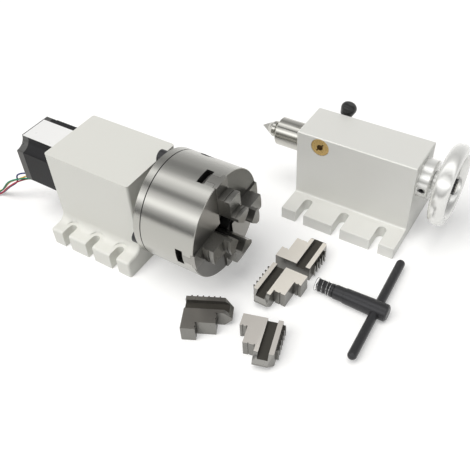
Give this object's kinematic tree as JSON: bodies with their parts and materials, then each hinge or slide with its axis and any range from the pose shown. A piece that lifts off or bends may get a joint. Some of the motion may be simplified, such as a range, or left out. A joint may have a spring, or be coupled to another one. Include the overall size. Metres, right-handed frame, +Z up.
{
  "type": "rotary axis with chuck and tailstock",
  "caption": "Motor-driven rotary axis with a four-jaw scroll chuck, a matching tailstock with a live centre, spare jaws and a chuck key.",
  "frame": {"origin": "on the table under the middle of the headstock block", "axes": "+X along the spindle from the motor to the chuck, +Z up from the table, +Y towards the tailstock's side"},
  "size_m": [0.4582, 0.2791, 0.112],
  "materials": {
    "blasted_aluminium": "matte, bead blasted, clear anodised",
    "milled_aluminium": "satin, milled and anodised, bright chamfers",
    "cast_aluminium": "satin die casting",
    "polished_aluminium": "polished",
    "black_lamination": "matte black",
    "label": "smooth white film",
    "black_oxide": "black oxide",
    "turned_steel": "turned, fine rings",
    "ground_steel": "ground",
    "bearing_steel": "polished",
    "nickel_steel": "ground and nickel plated",
    "rotor_steel": "plain",
    "spring_steel": "bright wire",
    "brass": "turned",
    "black_rubber": "matte",
    "black_knob": "smooth",
    "lead_green": "smooth insulation",
    "lead_yellow": "smooth insulation",
    "lead_red": "smooth insulation",
    "lead_blue": "smooth insulation"
  },
  "bodies": {
    "base": {"headstock_housing": "blasted_aluminium", "motor_front_bell": "cast_aluminium", "motor_stack": "black_lamination", "motor_rear_bell": "cast_aluminium", "lead_grommet": "black_rubber", "motor_label": "label", "motor_mount_screws": "black_oxide", "motor_tie_screws": "black_oxide", "motor_bearings": "bearing_steel", "input_bearing": "bearing_steel", "circular_spline": "ground_steel", "output_bearing_ring": "bearing_steel", "bearing_retainer": "ground_steel", "lead_green": "lead_green", "lead_yellow": "lead_yellow", "lead_red": "lead_red", "lead_blue": "lead_blue", "lead_coil": "lead_blue", "tailstock_body": "milled_aluminium", "brass_plug": "brass", "steel_plug": "ground_steel", "end_collar": "nickel_steel", "collar_set_screw": "black_oxide", "spare_jaw_1": "ground_steel", "spare_jaw_2": "ground_steel", "spare_jaw_3": "ground_steel", "spare_jaw_4": "ground_steel", "key_body": "black_oxide", "key_spring": "spring_steel"},
    "chuck": {"flexspline": "ground_steel", "output_hub": "turned_steel", "output_rollers": "bearing_steel", "chuck_flange": "turned_steel", "flange_screws": "black_oxide", "chuck_body": "turned_steel", "scroll_cover": "ground_steel"},
    "rotor": {"motor_shaft": "ground_steel", "motor_rotor": "rotor_steel", "shaft_coupling": "milled_aluminium", "input_shaft": "ground_steel", "wave_generator": "rotor_steel", "wave_bearing": "bearing_steel"},
    "scroll": {"scroll": "ground_steel"},
    "jaw_1": {"jaw_1": "ground_steel"},
    "jaw_2": {"jaw_2": "ground_steel"},
    "jaw_3": {"jaw_3": "ground_steel"},
    "jaw_4": {"jaw_4": "ground_steel"},
    "pinion_1": {"pinion_1": "black_oxide"},
    "pinion_2": {"pinion_2": "black_oxide"},
    "wheel": {"feed_screw": "ground_steel", "handwheel": "polished_aluminium", "wheel_nut": "black_oxide"},
    "quill": {"quill": "nickel_steel", "quill_cap": "nickel_steel", "feed_nut": "brass", "centre_bearings": "bearing_steel"},
    "centre": {"live_centre": "ground_steel"},
    "lever": {"lock_lever": "nickel_steel", "lever_knob": "black_knob"},
    "bar": {"tommy_bar": "black_oxide"}
  },
  "joints": [
    {"name": "chuck_turn", "type": "hinge", "parent": "base", "child": "chuck", "pos_m": [0, 0, 0.062], "axis": [1, 0, 0], "continuous": true},
    {"name": "rotor_turn", "type": "hinge", "parent": "base", "child": "rotor", "pos_m": [0, 0, 0.062], "axis": [1, 0, 0], "continuous": true},
    {"name": "scroll_turn", "type": "hinge", "parent": "chuck", "child": "scroll", "pos_m": [0, 0, 0.062], "axis": [1, 0, 0], "range_deg": [-576, 684]},
    {"name": "jaw_1_slide", "type": "slide", "parent": "chuck", "child": "jaw_1", "axis": [0, 0.9976, 0.0698], "range_m": [-0.0095, 0.008]},
    {"name": "jaw_2_slide", "type": "slide", "parent": "chuck", "child": "jaw_2", "axis": [0, -0.0698, 0.9976], "range_m": [-0.0095, 0.008]},
    {"name": "jaw_3_slide", "type": "slide", "parent": "chuck", "child": "jaw_3", "axis": [0, -0.9976, -0.0698], "range_m": [-0.0095, 0.008]},
    {"name": "jaw_4_slide", "type": "slide", "parent": "chuck", "child": "jaw_4", "axis": [0, 0.0698, -0.9976], "range_m": [-0.0095, 0.008]},
    {"name": "pinion_1_turn", "type": "hinge", "parent": "chuck", "child": "pinion_1", "pos_m": [0.0875, 0, 0.062], "axis": [0, 0.6561, 0.7547], "range_deg": [-3648, 3072]},
    {"name": "pinion_2_turn", "type": "hinge", "parent": "chuck", "child": "pinion_2", "pos_m": [0.0875, 0, 0.062], "axis": [0, -0.6561, -0.7547], "range_deg": [-3648, 3072]},
    {"name": "wheel_turn", "type": "hinge", "parent": "base", "child": "wheel", "pos_m": [0.19, 0.1408, 0.062], "axis": [-1, 0, 0], "range_deg": [-3600, 5400]},
    {"name": "quill_slide", "type": "slide", "parent": "base", "child": "quill", "axis": [-1, 0, 0], "range_m": [-0.02, 0.03]},
    {"name": "centre_turn", "type": "hinge", "parent": "quill", "child": "centre", "pos_m": [0.09, 0.1408, 0.062], "axis": [1, 0, 0], "continuous": true},
    {"name": "lever_turn", "type": "hinge", "parent": "base", "child": "lever", "pos_m": [0.1534, 0.1693, 0.0755], "axis": [0, 1, 0], "range_deg": [-90, 0]},
    {"name": "bar_slide", "type": "slide", "parent": "base", "child": "bar", "axis": [-0.0366, 0.9993, 0], "range_m": [-0.04, 0.04]}
  ],
  "couplings": [
    {"joint": "rotor_turn", "follows": "chuck_turn", "ratio": -50},
    {"joint": "jaw_1_slide", "follows": "scroll_turn", "m_per_rad": -0.00079577},
    {"joint": "jaw_2_slide", "follows": "scroll_turn", "m_per_rad": -0.00079577},
    {"joint": "jaw_3_slide", "follows": "scroll_turn", "m_per_rad": -0.00079577},
    {"joint": "jaw_4_slide", "follows": "scroll_turn", "m_per_rad": -0.00079577},
    {"joint": "pinion_1_turn", "follows": "scroll_turn", "ratio": -5.3333},
    {"joint": "pinion_2_turn", "follows": "scroll_turn", "ratio": -5.3333},
    {"joint": "quill_slide", "follows": "wheel_turn", "m_per_rad": 0.00031831}
  ]
}
